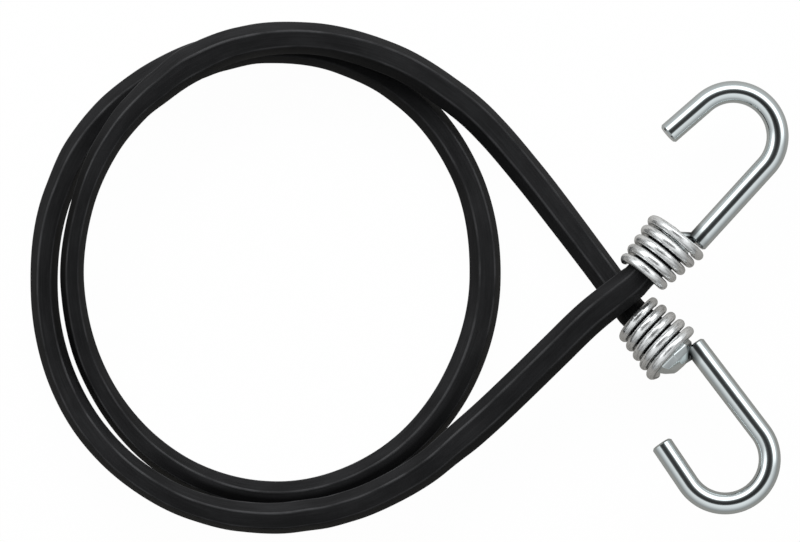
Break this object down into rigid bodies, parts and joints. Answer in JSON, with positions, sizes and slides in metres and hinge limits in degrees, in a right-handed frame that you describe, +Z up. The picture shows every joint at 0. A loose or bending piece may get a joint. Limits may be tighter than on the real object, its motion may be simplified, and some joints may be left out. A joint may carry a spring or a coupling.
{
  "type": "bungee cord",
  "caption": "Black rubber bungee cord lying in a loose loop, with a bent steel hook swivelling in a wound wire coil at each end, for strapping loads down.",
  "frame": {"origin": "on the surface the cord lies on, under the middle of its bounding box", "axes": "+X from the loop towards the two hooks, +Y towards the upper hook in the picture, +Z up from the surface"},
  "size_m": [0.2114, 0.1416, 0.0234],
  "materials": {
    "black_rubber": "satin",
    "zinc_wire": "satin",
    "bright_steel": "polished"
  },
  "bodies": {
    "cord": {"rubber_rope": "black_rubber", "lower_coil": "zinc_wire", "upper_coil": "zinc_wire"},
    "lower_hook": {"lower_hook": "bright_steel"},
    "upper_hook": {"upper_hook": "bright_steel"}
  },
  "joints": [
    {"name": "lower_hook_swivel", "type": "hinge", "parent": "cord", "child": "lower_hook", "pos_m": [0.06366, -0.01083, 0.0076], "axis": [0.6785, -0.7226, 0.1323], "continuous": true},
    {"name": "upper_hook_swivel", "type": "hinge", "parent": "cord", "child": "upper_hook", "pos_m": [0.06476, 0.00107, 0.0153], "axis": [0.6825, 0.7268, -0.0767], "continuous": true}
  ]
}
